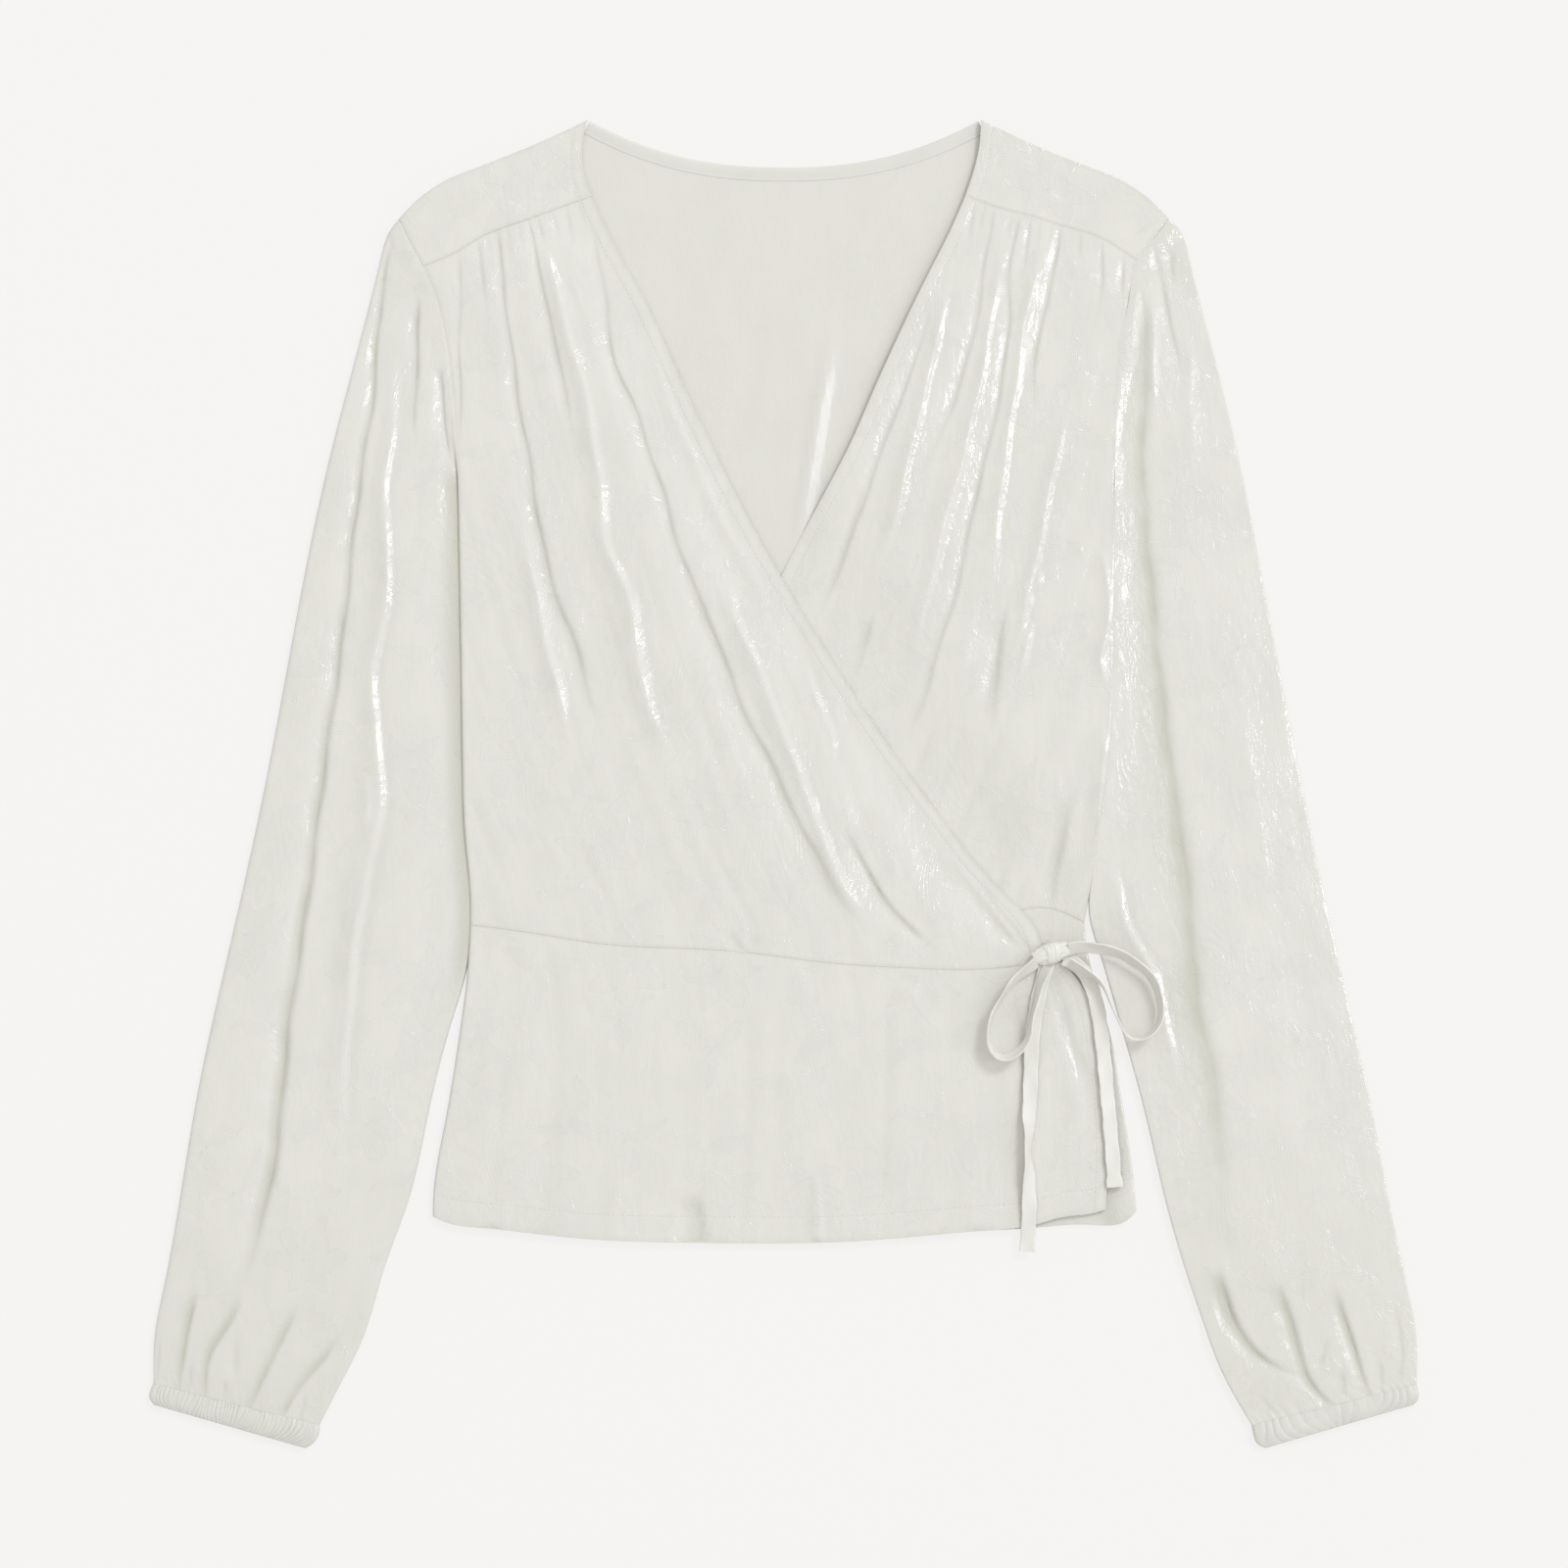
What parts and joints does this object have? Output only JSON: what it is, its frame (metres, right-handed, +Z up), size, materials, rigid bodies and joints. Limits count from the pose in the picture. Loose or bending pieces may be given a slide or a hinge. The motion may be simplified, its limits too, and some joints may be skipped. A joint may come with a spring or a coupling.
{
  "type": "wrap top",
  "caption": "Long-sleeved wrap blouse in ivory jacquard satin, laid flat: gathered crossed fronts on smooth yokes, a short flared peplum, elastic cuffs and a side tie in a bow.",
  "frame": {"origin": "middle of the bounding box at the surface that the blouse lies on", "axes": "+X towards the wearer's left, +Y from hem to neck, +Z up from the surface, away from the back panel"},
  "size_m": [0.648, 0.6778, 0.0144],
  "materials": {
    "jacquard_satin": "satin jacquard with a tone-on-tone pattern",
    "binding_satin": "satin, folded on the bias and topstitched",
    "tie_satin": "satin, sewn into a narrow flat tie"
  },
  "bodies": {
    "root": {"back_bodice": "jacquard_satin", "back_neck_binding": "binding_satin", "back_peplum": "jacquard_satin", "left_cuff": "jacquard_satin", "left_front": "jacquard_satin", "left_peplum": "jacquard_satin", "left_sleeve": "jacquard_satin", "left_yoke": "jacquard_satin", "right_cuff": "jacquard_satin", "right_front": "jacquard_satin", "right_peplum": "jacquard_satin", "right_sleeve": "jacquard_satin", "right_yoke": "jacquard_satin", "tie_knot": "tie_satin", "tie_loop_left": "tie_satin", "tie_loop_right": "tie_satin", "tie_tail_long": "tie_satin", "tie_tail_short": "tie_satin"}
  },
  "joints": []
}
